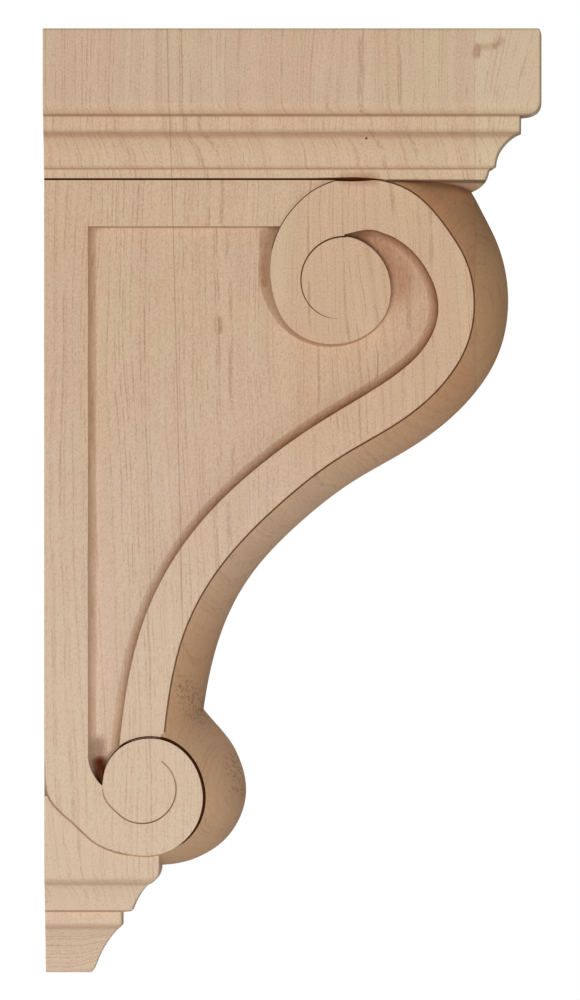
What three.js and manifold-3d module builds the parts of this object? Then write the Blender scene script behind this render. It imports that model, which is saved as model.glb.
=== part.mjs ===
// Scrolled wooden corbel bracket, carved from one glued-up maple blank.
// Millimetres. X runs out from the wall, Y across the width, Z up.
// The origin is on the flat back face, halfway up and halfway across.

import * as THREE from 'three';
import Module from 'manifold-3d';

const wasm = await Module();
wasm.setup();

// Overall sizes
const HEIGHT = 355;
const DEPTH = 186.5;
const BODY_WIDTH = 69.6;

// Crown: a board with moulded edges, the same moulding returned on the front and both sides
const CROWN_OVERHANG = 22.2;
const TOP_EASING = 1;
const FASCIA_HEIGHT = 27.4;
const OVOLO_HEIGHT = 5.3;
const OVOLO_DEPTH = 7.7;
const FILLET_HEIGHT = 6;
const SPLAY_HEIGHT = 1;
const SPLAY_DEPTH = 2.2;
const COVE_HEIGHT = 11.6;
const COVE_DEPTH = 7.2;
const COVE_HOLLOW = 1.4;
const CROWN_QUIRK_HEIGHT = 1.7;
const CROWN_QUIRK_DEPTH = 2.6;
const NECK_HEIGHT = 8.2;
const NECK_DEPTH = 6.8;
const NECK_LAP = 3.7;

// Shapes of the crown's curves: where each one bends, and how much faster the neck turns in at the sides
const NECK_BEND = { inset: 0.13, drop: 0.72 };
const NECK_SIDE_TURN = 1.76;

// Foot: a square block whose moulding steps in on the front and both sides
const FOOT_DEPTH = 43.2;
const FOOT_SETBACK = 1.8;
const FOOT_NOSE_HEIGHT = 5.3;
const FOOT_NOSE_DEPTH = 4.1;
const UPPER_HOLLOW_HEIGHT = 10.1;
const UPPER_HOLLOW_DEPTH = 6.5;
const FOOT_STEP_HEIGHT = 0.4;
const FOOT_STEP_DEPTH = 3.8;
const FOOT_FILLET_HEIGHT = 5.2;
const LOWER_HOLLOW_HEIGHT = 16.1;
const LOWER_HOLLOW_DEPTH = 10.4;
const FOOT_TIP_HEIGHT = 1.6;
const FOOT_TIP_DEPTH = 1.2;
const NOSE_BEND = 0.2;
const HOLLOW_BEND = 0.65;

// Side panels: a flat stile at the back and a rail on top around a sunk field
const STILE_WIDTH = 16.5;
const RAIL_HEIGHT = 16.9;
const PANEL_SINK = 5;
const STILE_WALL_RUN = 3.4;
const SCROLL_WALL_RUN = 3.8;

// How far the upper scroll stands proud of the rail, and the lower end of the band falls below it
const SCROLL_PROUD = 1.2;
const BAND_FALL = 1.3;
const BAND_FALL_FROM = 0.4;
const EYE_GROOVE_WIDTH = 0.9;
const EYE_GROOVE_DEPTH = 1.2;

// How finely the curves are cut
const BAND_STEPS = 72;
const ROLL_STEPS = 26;
const COIL_STEPS = 80;
const GROOVE_STEPS = 30;
const CURVE_STEPS = 6;
const BELLY_STEPS = 10;
const OVERLAP = 2;

// Heights and widths that follow from the sizes above
const CROWN_HEIGHT = FASCIA_HEIGHT + OVOLO_HEIGHT + FILLET_HEIGHT + SPLAY_HEIGHT
  + COVE_HEIGHT + CROWN_QUIRK_HEIGHT + NECK_HEIGHT - NECK_LAP;
const FOOT_HEIGHT = FOOT_NOSE_HEIGHT + UPPER_HOLLOW_HEIGHT + FOOT_STEP_HEIGHT
  + FOOT_FILLET_HEIGHT + LOWER_HOLLOW_HEIGHT + FOOT_TIP_HEIGHT;
const CROWN_UNDERSIDE = HEIGHT - CROWN_HEIGHT;
const BODY_HEIGHT = CROWN_UNDERSIDE - FOOT_HEIGHT;
const FACE = BODY_WIDTH / 2;
const PANEL_FACE = FACE - PANEL_SINK;
const SCROLL_FACE = FACE + SCROLL_PROUD;

// The scroll is drawn in hundredths of the body's height, from the back edge and the top of the foot.
const PERCENT = BODY_HEIGHT / 100;

// Stations down the outer edge of the band: place, the band's width and the swell of its front
const BAND_STATIONS = [
  { across: 42.2, up: 100.5, width: 7.9, swell: 5.9 },
  { across: 48.7, up: 100.3, width: 7.1, swell: 5.9 },
  { across: 52.9, up: 98.7, width: 6.9, swell: 6.1 },
  { across: 56.3, up: 95.6, width: 6.4, swell: 6.1 },
  { across: 59.1, up: 92.7, width: 6.0, swell: 5.3 },
  { across: 61.3, up: 88.8, width: 5.7, swell: 4.9 },
  { across: 62.6, up: 82.5, width: 5.4, swell: 4.6 },
  { across: 61.6, up: 76.5, width: 5.4, swell: 4.2 },
  { across: 58.9, up: 71.7, width: 5.6, swell: 3.9 },
  { across: 52.1, up: 65.4, width: 6.1, swell: 3.8 },
  { across: 42.8, up: 59.8, width: 6.0, swell: 3.9 },
  { across: 34.9, up: 53.7, width: 6.3, swell: 3.6 },
  { across: 26.1, up: 44.6, width: 6.4, swell: 3.7 },
  { across: 21.0, up: 35.9, width: 6.3, swell: 4.4 },
  { across: 18.4, up: 26.2, width: 6.4, swell: 4.6 },
  { across: 17.2, up: 15.9, width: 6.5, swell: 4.6 },
];

// Upper volute: its radius at every eighth of a turn, from the crown round the back and into the eye
const COIL = { across: 43.6, up: 85.8, from: 90, to: 450 };
const COIL_RADII = [14.6, 12.3, 10.9, 10.9, 9.5, 8.1, 6.6, 6.1, 6.3];
const COIL_WALLS = [1.6, 1.6, 1.6, 0.9, 0.4, 0.2, 0, 0, 0];
const COIL_EYE = { radius: 6.3, from: 92, to: 262 };

// Lower volute: from its tip at the stile over the top, down the front and back to the wall
const FOOT_COIL = { across: 14.64, up: 10.87, from: 166, to: -184 };
const FOOT_COIL_RADII = [6.4, 8.0, 8.7, 8.5, 8.7, 8.8, 9.9, 14.7];
const FOOT_EYE = { across: 13.87, up: 11.67, radius: 5, from: 180, to: 415 };
const STILE_END = { across: 6.4, up: 17.1 };

// Swelled front of the lower volute, measured from the same centre
const ROLL = { from: 75, to: -100 };
const ROLL_RADII = [16.2, 14.3, 14.2, 14.2, 13.3, 11.9, 10.8, 10.3];

function spiralPoint(centre, radius, degrees) {
  const angle = THREE.MathUtils.degToRad(degrees);
  return new THREE.Vector2(
    centre.across + radius * Math.cos(angle),
    centre.up + radius * Math.sin(angle),
  );
}

// A smooth value read off evenly spaced numbers, at a share from 0 to 1 of the way along them
function along(numbers, share) {
  const curve = new THREE.SplineCurve(numbers.map((number) => new THREE.Vector2(number, 0)));
  return curve.getPoint(share).x;
}

function shares(steps) {
  return Array.from({ length: steps + 1 }, (_, step) => step / steps);
}

// A point of the drawing, at a distance across from the middle plane, in the bracket's own frame
function atDepth(drawn, y) {
  return new THREE.Vector3(drawn.x * PERCENT, y, FOOT_HEIGHT + drawn.y * PERCENT);
}

// A planar ring's points in two dimensions of its own plane
function flatten(ring) {
  const normal = new THREE.Vector3();
  ring.forEach((point, index) => {
    normal.add(new THREE.Vector3().crossVectors(point, ring[(index + 1) % ring.length]));
  });
  normal.normalize();
  const side = new THREE.Vector3().subVectors(ring[1], ring[0]).normalize();
  const rise = new THREE.Vector3().crossVectors(normal, side);
  return ring.map((point) => new THREE.Vector2(point.dot(side), point.dot(rise)));
}

function capTriangles(ring) {
  const flat = flatten(ring);
  const turn = THREE.ShapeUtils.area(flat);
  return THREE.ShapeUtils.triangulateShape(flat, []).map(([a, b, c]) => {
    const sameTurn = THREE.ShapeUtils.area([flat[a], flat[b], flat[c]]) * turn > 0;
    return sameTurn ? [a, b, c] : [a, c, b];
  });
}

function enclosedVolume(points, triangles) {
  return triangles.reduce((total, [a, b, c]) => {
    const area = new THREE.Vector3().crossVectors(points[b], points[c]);
    return total + points[a].dot(area) / 6;
  }, 0);
}

// A closed solid through a row of rings that all have the same number of points
function loft(rings) {
  const count = rings[0].length;
  const points = rings.flat();
  const triangles = [];
  for (let row = 0; row + 1 < rings.length; row += 1) {
    for (let spot = 0; spot < count; spot += 1) {
      const next = (spot + 1) % count;
      const here = row * count;
      const there = here + count;
      triangles.push([here + spot, here + next, there + next]);
      triangles.push([here + spot, there + next, there + spot]);
    }
  }
  const last = (rings.length - 1) * count;
  capTriangles(rings[0]).forEach(([a, b, c]) => triangles.push([a, c, b]));
  capTriangles(rings.at(-1)).forEach(([a, b, c]) => triangles.push([last + a, last + b, last + c]));
  const outward = enclosedVolume(points, triangles) > 0;
  const order = outward ? triangles : triangles.map(([a, b, c]) => [a, c, b]);
  const mesh = new wasm.Mesh({
    numProp: 3,
    vertProperties: new Float32Array(points.flatMap((point) => point.toArray())),
    triVerts: new Uint32Array(order.flat()),
  });
  return new wasm.Manifold(mesh);
}

// A level ring of the crown or the foot: a rectangle against the wall
function levelRing(front, half, z) {
  return [
    new THREE.Vector3(0, -half, z),
    new THREE.Vector3(front, -half, z),
    new THREE.Vector3(front, half, z),
    new THREE.Vector3(0, half, z),
  ];
}

// The crown: its moulding is one path of inset against drop, and every point of it is a level ring
function crown() {
  const profile = new THREE.Path();
  const pen = { inset: 0, drop: 0 };
  const go = (inset, drop) => {
    pen.inset += inset;
    pen.drop += drop;
  };
  const line = (inset, drop) => {
    go(inset, drop);
    profile.lineTo(pen.inset, pen.drop);
  };
  const curve = (inset, drop, pullInset, pullDrop) => {
    const bendInset = pen.inset + pullInset;
    const bendDrop = pen.drop + pullDrop;
    go(inset, drop);
    profile.quadraticCurveTo(bendInset, bendDrop, pen.inset, pen.drop);
  };
  go(TOP_EASING, 0);
  profile.moveTo(pen.inset, pen.drop);
  curve(-TOP_EASING, TOP_EASING, -TOP_EASING, 0);
  line(0, FASCIA_HEIGHT - TOP_EASING);
  curve(OVOLO_DEPTH, OVOLO_HEIGHT, 0, OVOLO_HEIGHT);
  line(0, FILLET_HEIGHT);
  line(SPLAY_DEPTH, SPLAY_HEIGHT);
  curve(COVE_DEPTH, COVE_HEIGHT, COVE_DEPTH - COVE_HOLLOW, COVE_HEIGHT / 2);
  line(CROWN_QUIRK_DEPTH, CROWN_QUIRK_HEIGHT);
  const neckTop = pen.inset;
  curve(NECK_DEPTH, NECK_HEIGHT, NECK_DEPTH * NECK_BEND.inset, NECK_HEIGHT * NECK_BEND.drop);
  const half = FACE + CROWN_OVERHANG;
  const rings = profile.getPoints(CURVE_STEPS).map((point) => {
    const neck = Math.max(point.x - neckTop, 0);
    const side = point.x + neck * (NECK_SIDE_TURN - 1);
    return levelRing(DEPTH - point.x, half - side, HEIGHT - point.y);
  });
  return loft(rings);
}

// The foot: the same idea from the top of the foot down, and a plain block up inside the lower volute
function foot() {
  const rise = FOOT_COIL.up * PERCENT;
  const profile = new THREE.Path();
  const pen = { inset: 0, drop: -rise };
  const line = (inset, drop) => {
    pen.inset += inset;
    pen.drop += drop;
    profile.lineTo(pen.inset, pen.drop);
  };
  const curve = (inset, drop, bend) => {
    const bendInset = pen.inset + inset * bend;
    const bendDrop = pen.drop + drop * (1 - bend);
    pen.inset += inset;
    pen.drop += drop;
    profile.quadraticCurveTo(bendInset, bendDrop, pen.inset, pen.drop);
  };
  profile.moveTo(pen.inset, pen.drop);
  line(0, rise);
  curve(FOOT_NOSE_DEPTH, FOOT_NOSE_HEIGHT, NOSE_BEND);
  curve(UPPER_HOLLOW_DEPTH, UPPER_HOLLOW_HEIGHT, HOLLOW_BEND);
  line(FOOT_STEP_DEPTH, FOOT_STEP_HEIGHT);
  line(0, FOOT_FILLET_HEIGHT);
  curve(LOWER_HOLLOW_DEPTH, LOWER_HOLLOW_HEIGHT, HOLLOW_BEND);
  line(FOOT_TIP_DEPTH, FOOT_TIP_HEIGHT);
  const half = FACE - FOOT_SETBACK;
  const rings = profile.getPoints(CURVE_STEPS).map((point) => (
    levelRing(FOOT_DEPTH - point.x, half - point.x, FOOT_HEIGHT - point.y)
  ));
  return loft(rings);
}

// One section across the bracket: up the panel's wall, over the side face and round the swelled front
function bellySection(inner, wall, edge, swell, face) {
  const outward = new THREE.Vector2().subVectors(edge, inner).normalize();
  const bulge = swell * PERCENT;
  const radius = (face * face + bulge * bulge) / (2 * bulge);
  const sweep = Math.asin(face / radius);
  const front = shares(BELLY_STEPS).map((share) => {
    const angle = sweep * (2 * share - 1);
    const forward = (radius * Math.cos(angle) - radius + bulge) / PERCENT;
    const drawn = edge.clone().addScaledVector(outward, forward);
    return atDepth(drawn, radius * Math.sin(angle));
  });
  return [
    atDepth(wall, -PANEL_FACE),
    atDepth(inner, -face),
    ...front,
    atDepth(inner, face),
    atDepth(wall, PANEL_FACE),
  ];
}

// The band: from the top of the upper volute round the nose and down the S to the lower volute
function band() {
  const edge = new THREE.SplineCurve(
    BAND_STATIONS.map((station) => new THREE.Vector2(station.across, station.up)),
  );
  const widths = BAND_STATIONS.map((station) => station.width);
  const swells = BAND_STATIONS.map((station) => station.swell);
  const rings = shares(BAND_STEPS).map((share) => {
    const point = edge.getPoint(share);
    const tangent = edge.getTangent(share);
    const outward = new THREE.Vector2(-tangent.y, tangent.x);
    const inner = point.clone().addScaledVector(outward, -along(widths, share));
    const wall = inner.clone().addScaledVector(outward, -SCROLL_WALL_RUN / PERCENT);
    const fall = (SCROLL_PROUD + BAND_FALL) * THREE.MathUtils.smoothstep(share, BAND_FALL_FROM, 1);
    return bellySection(inner, wall, point, along(swells, share), SCROLL_FACE - fall);
  });
  return loft(rings);
}

// A plate cut to an outline, as wide as the two faces it reaches
function plate(outline, face) {
  return loft([outline.map((point) => atDepth(point, -face)), outline.map((point) => atDepth(point, face))]);
}

// The upper volute: a spiral whose wall leans out on the side of the sunk field
function upperVolute() {
  const outline = (reach) => shares(COIL_STEPS).map((share) => {
    const degrees = THREE.MathUtils.lerp(COIL.from, COIL.to, share);
    const radius = along(COIL_RADII, share) + reach * along(COIL_WALLS, share);
    return spiralPoint(COIL, radius, degrees);
  });
  const top = outline(0);
  const floor = outline(1);
  return loft([
    top.map((point) => atDepth(point, -SCROLL_FACE)),
    floor.map((point) => atDepth(point, -PANEL_FACE)),
    floor.map((point) => atDepth(point, PANEL_FACE)),
    top.map((point) => atDepth(point, SCROLL_FACE)),
  ]);
}

// The lower volute: a spiral plate that the stile runs into
function lowerVolute() {
  const outline = shares(COIL_STEPS).map((share) => {
    const degrees = THREE.MathUtils.lerp(FOOT_COIL.from, FOOT_COIL.to, share);
    const drawn = spiralPoint(FOOT_COIL, along(FOOT_COIL_RADII, share), degrees);
    drawn.x = Math.max(drawn.x, 0);
    return drawn;
  });
  outline.push(new THREE.Vector2(0, STILE_END.up));
  outline.push(new THREE.Vector2(STILE_END.across, STILE_END.up));
  return plate(outline, FACE);
}

// The swelled front of the lower volute, section after section round its centre
function roll() {
  const centre = new THREE.Vector2(FOOT_COIL.across, FOOT_COIL.up);
  const rings = shares(ROLL_STEPS).map((share) => {
    const degrees = THREE.MathUtils.lerp(ROLL.from, ROLL.to, share);
    const turn = (degrees - FOOT_COIL.from) / (FOOT_COIL.to - FOOT_COIL.from);
    const edgeRadius = along(FOOT_COIL_RADII, turn);
    const edge = spiralPoint(FOOT_COIL, edgeRadius, degrees);
    return bellySection(centre, centre, edge, along(ROLL_RADII, share) - edgeRadius, FACE);
  });
  return loft(rings);
}

// The stile at the back, with a sloped wall down to the sunk field
function stile() {
  const foot = FOOT_HEIGHT + STILE_END.up * PERCENT - OVERLAP;
  const rings = [foot, CROWN_UNDERSIDE + OVERLAP].map((z) => [
    new THREE.Vector3(0, -FACE, z),
    new THREE.Vector3(STILE_WIDTH, -FACE, z),
    new THREE.Vector3(STILE_WIDTH + STILE_WALL_RUN, -PANEL_FACE, z),
    new THREE.Vector3(STILE_WIDTH + STILE_WALL_RUN, PANEL_FACE, z),
    new THREE.Vector3(STILE_WIDTH, FACE, z),
    new THREE.Vector3(0, FACE, z),
  ]);
  return loft(rings);
}

function rail() {
  const end = COIL.across * PERCENT;
  const rings = [CROWN_UNDERSIDE - RAIL_HEIGHT, CROWN_UNDERSIDE + OVERLAP].map((z) => (
    levelRing(end, FACE, z)
  ));
  return loft(rings);
}

// The core between the two sunk fields, out to the middle of the band
function core() {
  const edge = new THREE.SplineCurve(
    BAND_STATIONS.map((station) => new THREE.Vector2(station.across, station.up)),
  );
  const widths = BAND_STATIONS.map((station) => station.width);
  const front = shares(BAND_STEPS / 2).map((share) => {
    const tangent = edge.getTangent(share);
    const outward = new THREE.Vector2(-tangent.y, tangent.x);
    return edge.getPoint(share).addScaledVector(outward, -along(widths, share) / 2);
  });
  const outline = [
    new THREE.Vector2(0, 0),
    new THREE.Vector2(0, front[0].y),
    ...front,
    new THREE.Vector2(FOOT_COIL.across, 0),
  ];
  return plate(outline, PANEL_FACE);
}

// A groove along part of a circle, cut into both side faces
function eyeGroove(centre, eye, face) {
  const rims = [-EYE_GROOVE_WIDTH / 2, EYE_GROOVE_WIDTH / 2].map((offset) => eye.radius + offset / PERCENT);
  const cut = (low, high) => loft(shares(GROOVE_STEPS).map((share) => {
    const degrees = THREE.MathUtils.lerp(eye.from, eye.to, share);
    const inner = spiralPoint(centre, rims[0], degrees);
    const outer = spiralPoint(centre, rims[1], degrees);
    return [atDepth(inner, low), atDepth(outer, low), atDepth(outer, high), atDepth(inner, high)];
  }));
  const bottom = face - EYE_GROOVE_DEPTH;
  const top = face + OVERLAP;
  return cut(-top, -bottom).add(cut(bottom, top));
}

function corbel() {
  const solids = [foot(), core(), stile(), rail(), upperVolute(), band(), lowerVolute(), roll()];
  const whole = solids.reduce((joined, solid) => joined.add(solid), crown());
  const carved = whole
    .subtract(eyeGroove(COIL, COIL_EYE, SCROLL_FACE))
    .subtract(eyeGroove(FOOT_EYE, FOOT_EYE, FACE));
  const mesh = carved.getMesh();
  const geometry = new THREE.BufferGeometry();
  geometry.setAttribute('position', new THREE.BufferAttribute(mesh.vertProperties, mesh.numProp));
  geometry.setIndex(new THREE.BufferAttribute(mesh.triVerts, 1));
  return geometry;
}

const maple = new THREE.MeshStandardMaterial({ color: 0xd6b698, roughness: 0.62, metalness: 0 });
const body = new THREE.Mesh(corbel(), maple);
body.name = 'corbel';
body.position.z = -HEIGHT / 2;

const group = new THREE.Group();
group.add(body);

export default group;
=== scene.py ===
# %% [markdown]
# A carved maple corbel, the bracket that carries a shelf or a mantel. On the real thing a blank is glued
# up from a few boards, sawn to its outline, machined along its front and sides, and sanded before it is
# sold bare. Everything here is in millimetres until a mesh is made, and the drawing of the scroll is in
# hundredths of the body's height, so one number scales it.

# %% Load the frame
import math
import bpy
import numpy as np
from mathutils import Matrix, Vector


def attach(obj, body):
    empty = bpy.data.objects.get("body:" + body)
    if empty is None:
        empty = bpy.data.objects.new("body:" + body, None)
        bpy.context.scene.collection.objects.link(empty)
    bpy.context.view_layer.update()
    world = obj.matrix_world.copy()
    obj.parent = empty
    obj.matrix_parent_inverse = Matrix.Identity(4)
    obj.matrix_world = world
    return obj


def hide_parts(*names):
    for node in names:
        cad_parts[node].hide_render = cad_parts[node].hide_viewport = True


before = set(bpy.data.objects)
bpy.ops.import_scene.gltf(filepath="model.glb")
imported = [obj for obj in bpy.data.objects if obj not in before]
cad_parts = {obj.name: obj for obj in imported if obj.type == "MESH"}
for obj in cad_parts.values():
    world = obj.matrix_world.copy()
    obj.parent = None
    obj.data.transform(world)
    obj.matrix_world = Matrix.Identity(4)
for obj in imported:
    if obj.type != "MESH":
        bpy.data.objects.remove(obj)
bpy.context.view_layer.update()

# %% [markdown]
# The sizes. The crown is a stack of mouldings, the foot a shorter stack, and the body between them is
# what the scroll is drawn in. The front of the scroll swells out from its edges like a cushion.

# %% Sizes in millimetres
MM = 0.001
HEIGHT, DEPTH, BODY_WIDTH = 355.0, 186.5, 69.6
CROWN_HALF = BODY_WIDTH / 2 + 22.2
NECK_INSET, NECK_TOP, NECK_DEPTH, NECK_HEIGHT = 19.7, 53.0, 6.8, 8.2
# How far the neck turns in at the sides for what it turns in at the front
NECK_SIDE = [[0, 1.2, 1.5, 2.14, 2.87, 4.63, 6.8], [0, 1.3, 5, 14, 20, 28, 34]]
CROWN_UNDERSIDE, FOOT_HEIGHT = 297.5, 38.7
FOOT_DEPTH, FOOT_SETBACK = 43.2, 1.8
STILE_WIDTH, RAIL_HEIGHT, PANEL_SINK = 16.5, 16.6, 5.0
SCROLL_PROUD, BAND_FALL = 1.2, 1.3
STILE_RUN, BAND_RUN = 3.6, 4.0
ARRIS, EASE = 0.3, 0.35
# How far a wall dips under the floor that it meets, and how far its last point then goes out and down
UNDER_FLOOR, SKIRT_OUT, SKIRT_DOWN = 0.06, 0.2, 0.6
PERCENT = (CROWN_UNDERSIDE - FOOT_HEIGHT) / 100
FACE = BODY_WIDTH / 2
FLOOR = FACE - PANEL_SINK
PROUD_FACE = FACE + SCROLL_PROUD
BOTTOM = -HEIGHT / 2

# Stations down the outer edge of the band: across, up, the band's width, the swell of its front
STATIONS = np.array([
    [42.2, 100.5, 8.35, 5.9], [48.7, 100.45, 7.45, 5.9], [52.9, 99.05, 7.4, 5.9], [56.6, 95.95, 6.7, 5.95],
    [58.95, 92.9, 6.05, 5.4], [61.3, 88.9, 5.85, 4.95], [62.6, 82.5, 5.4, 4.7], [61.6, 76.5, 5.4, 4.5],
    [58.9, 71.7, 5.6, 4.2], [52.1, 65.4, 6.1, 3.9], [42.8, 59.8, 6.0, 3.8], [34.9, 53.7, 6.3, 3.75],
    [26.1, 44.6, 6.4, 4.05], [21.0, 35.9, 6.3, 4.7], [18.4, 26.2, 6.4, 4.9], [17.2, 15.9, 6.5, 4.85],
])

COIL = np.array([43.6, 85.8])
COIL_RADII = np.array([14.6, 12.3, 10.7, 10.45, 9.15, 7.9, 6.6, 6.1, 6.3])
COIL_WALLS = np.array([1.9, 1.9, 1.9, 0.8, 0.4, 0.2, 0.05, 0.0, 0.0])
FOOT_COIL = np.array([14.64, 10.87])
FOOT_COIL_RADII = np.array([6.4, 7.15, 8.0, 8.45, 8.7, 8.62, 8.5, 8.58, 8.7, 8.7, 8.72, 8.88, 9.8, 11.1,
                            14.4])
FOOT_COIL_START, FOOT_COIL_TURN = 166, 350
ROLL_RADII = np.array([16.4, 14.6, 14.5, 14.45, 13.4, 11.8, 10.55, 10.0])
FOOT_EYE, FOOT_EYE_RADIUS = np.array([14.2, 11.85]), 4.95
COIL_EYE_RADIUS = 6.3
POCKET_EDGE = np.array([[6.33, 17.6], [6.37, 16.4], [6.62, 15.2], [7.1, 14.1], [7.7, 13.15], [8.3, 12.5]])
print("body height", CROWN_UNDERSIDE - FOOT_HEIGHT, "one hundredth of it", round(PERCENT, 3))

# %% [markdown]
# Every curve is a smooth one through a few stations. A carver works the same way, from a few places
# pencilled on the blank, with the line faired between them by eye or with a batten. The moulding's hollows
# and rounds are simple enough for a curve with one pull.


# %% Curves
def smooth(values, share):
    """Uniform Catmull-Rom curve at shares 0 to 1 of the way along evenly spaced values.

    Between p1 and p2 with slopes v1 = (p2 - p0) / 2 and v2 = (p3 - p1) / 2, at t from 0 to 1:
    p(t) = (2 p1 - 2 p2 + v1 + v2) t^3 + (3 p2 - 3 p1 - 2 v1 - v2) t^2 + v1 t + p1
    """
    values = np.asarray(values, dtype=float)
    last = len(values) - 1
    place = np.clip(share, 0, 1) * last
    index = np.minimum(place.astype(int), last - 1)
    t = (place - index).reshape([-1] + [1] * (values.ndim - 1))
    p0, p1 = values[np.maximum(index - 1, 0)], values[index]
    p2, p3 = values[index + 1], values[np.minimum(index + 2, last)]
    v1, v2 = (p2 - p0) / 2, (p3 - p1) / 2
    cubic, square = 2 * p1 - 2 * p2 + v1 + v2, 3 * p2 - 3 * p1 - 2 * v1 - v2
    return cubic * t**3 + square * t**2 + v1 * t + p1


def faired(stations, share):
    """Natural cubic spline through stations spaced by their chords, and its slope, at shares 0 to 1.

    The second slopes m solve h0 m0 + 2 (h0 + h1) m1 + h1 m2 = 6 ((p2 - p1) / h1 - (p1 - p0) / h0), and
    are 0 at both ends. It bends more evenly than the plain curve, as a batten does.
    """
    stations = np.asarray(stations, dtype=float)
    step = np.linalg.norm(np.diff(stations[:, :2], axis=0), axis=1)
    knots = np.concatenate([[0.0], np.cumsum(step)])
    count = len(knots)
    system, known = np.eye(count), np.zeros_like(stations)
    rows = np.arange(1, count - 1)
    system[rows, rows - 1], system[rows, rows + 1] = step[:-1], step[1:]
    system[rows, rows] = 2 * (step[:-1] + step[1:])
    rise = np.diff(stations, axis=0) / step[:, None]
    known[1:-1] = 6 * np.diff(rise, axis=0)
    second = np.linalg.solve(system, known)
    place = np.clip(share, 0, 1) * knots[-1]
    index = np.clip(np.searchsorted(knots, place, side="right") - 1, 0, count - 2)
    h, a = step[index][:, None], (place - knots[index])[:, None]
    b = h - a
    value = ((second[index] * b**3 + second[index + 1] * a**3) / (6 * h)
             + (stations[index] / h - second[index] * h / 6) * b
             + (stations[index + 1] / h - second[index + 1] * h / 6) * a)
    slope = ((second[index + 1] * a**2 - second[index] * b**2) / (2 * h) + rise[index]
             - h / 6 * (second[index + 1] - second[index]))
    return value, slope


def ramp(low, high, value):
    """0 below low, 1 above high and t^2 (3 - 2 t) between them."""
    t = np.clip((value - low) / (high - low), 0, 1)
    return t * t * (3 - 2 * t)


def bend(start, pull, end, steps=10):
    """Quadratic curve (1 - t)^2 start + 2 t (1 - t) pull + t^2 end, without its first point."""
    t = np.linspace(0, 1, steps + 1)[1:, None]
    return (1 - t)**2 * np.array(start) + 2 * t * (1 - t) * np.array(pull) + t**2 * np.array(end)


edge_steps = np.diff(faired(STATIONS[:, :2], np.linspace(0, 1, 200))[0] * PERCENT, axis=0)
print("the scroll's outer edge is", round(np.linalg.norm(edge_steps, axis=1).sum()), "mm long")

# %% [markdown]
# Every form is a stack of rings, skinned with quads and closed at both ends. It could be pushed and pulled by
# hand from a cube, but then no size could be read off it. The drawing is a side view, so its points are put
# at a depth to become points in space. The walls of all sunk fields share one section.


# %% Closed solids
def on_body(drawn):
    """Drawing hundredths to millimetres: x = across * PERCENT, z = foot + up * PERCENT."""
    return np.asarray(drawn) * PERCENT + np.array([0.0, FOOT_HEIGHT + BOTTOM])


def at_depth(plane, depth):
    """Points (x, z) of the side drawing put at y = depth, as an array that ends in x, y, z."""
    plane, depth = np.asarray(plane), np.asarray(depth)
    shape = np.broadcast_shapes(plane.shape[:-1], depth.shape)
    x, z = np.broadcast_to(plane[..., 0], shape), np.broadcast_to(plane[..., 1], shape)
    return np.stack([x, np.broadcast_to(depth, shape), z], axis=-1)


def square_to(along):
    """Unit vectors a quarter turn from the given ones: (x, z) becomes (-z, x) over its length."""
    turned = np.stack([-along[:, 1], along[:, 0]], axis=-1)
    return turned / np.maximum(np.linalg.norm(turned, axis=1, keepdims=True), 1e-9)


def polar(centre, radius, degrees):
    """Centre plus radius (cos a, sin a)."""
    angle = np.radians(degrees)
    return np.asarray(centre) + np.stack([radius * np.cos(angle), radius * np.sin(angle)], axis=-1)


def solid(name, *stacks, burn_and_shade=0.0, front=0.0):
    """One mesh of closed solids, each through a stack of rings: an array (rings, points, 3) in millimetres.

    Point (i, j) makes a quad with (i, j + 1), (i + 1, j + 1) and (i + 1, j); the end rings are capped.
    The volume is the sum of a . (b x c) / 6 over the triangles, and a negative one turns every face round.
    Burn and shade is how much each quad is darkened, partly as tool burn and partly as painted shade in
    walls, grooves and hollows, and front how much it takes the swelled front's browner tint, which is partly
    the end grain's colour and partly painted shade, each a number or an array (rings - 1, points).
    """
    points, faces, marks, offset = [], [], {"burn_and_shade": [], "front": []}, 0
    for rings in stacks:
        rows, count = rings.shape[:2]
        index = np.arange(rows * count).reshape(rows, count)
        turned = np.roll(index, -1, axis=1)
        quads = np.stack([index[:-1], turned[:-1], turned[1:], index[1:]], axis=-1).reshape(-1, 4)
        caps = [index[0][::-1], index[-1]]
        fans = [np.stack([np.full(count - 2, cap[0]), cap[1:-1], cap[2:]], axis=-1) for cap in caps]
        triangles = np.concatenate([quads[:, :3], quads[:, [0, 2, 3]]] + fans)
        flat = rings.reshape(-1, 3)
        a, b, c = flat[triangles].transpose(1, 0, 2)
        turn = 1 if np.sum(a * np.cross(b, c)) > 0 else -1
        faces += [(face[::turn] + offset).tolist() for face in list(quads) + caps]
        for key, value in (("burn_and_shade", burn_and_shade), ("front", front)):
            marks[key] += [np.broadcast_to(value, (rows - 1, count)).reshape(-1), np.zeros(2)]
        points.append(flat)
        offset += rows * count
    mesh = bpy.data.meshes.new(name)
    mesh.from_pydata((np.concatenate(points) * MM).tolist(), [], faces)
    for key, values in marks.items():
        layer = mesh.attributes.new(key, "FLOAT", "FACE")
        layer.data.foreach_set("value", np.concatenate(values).astype(np.float32))
    shell = bpy.data.objects.new(name, mesh)
    bpy.context.scene.collection.objects.link(shell)
    return shell


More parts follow.
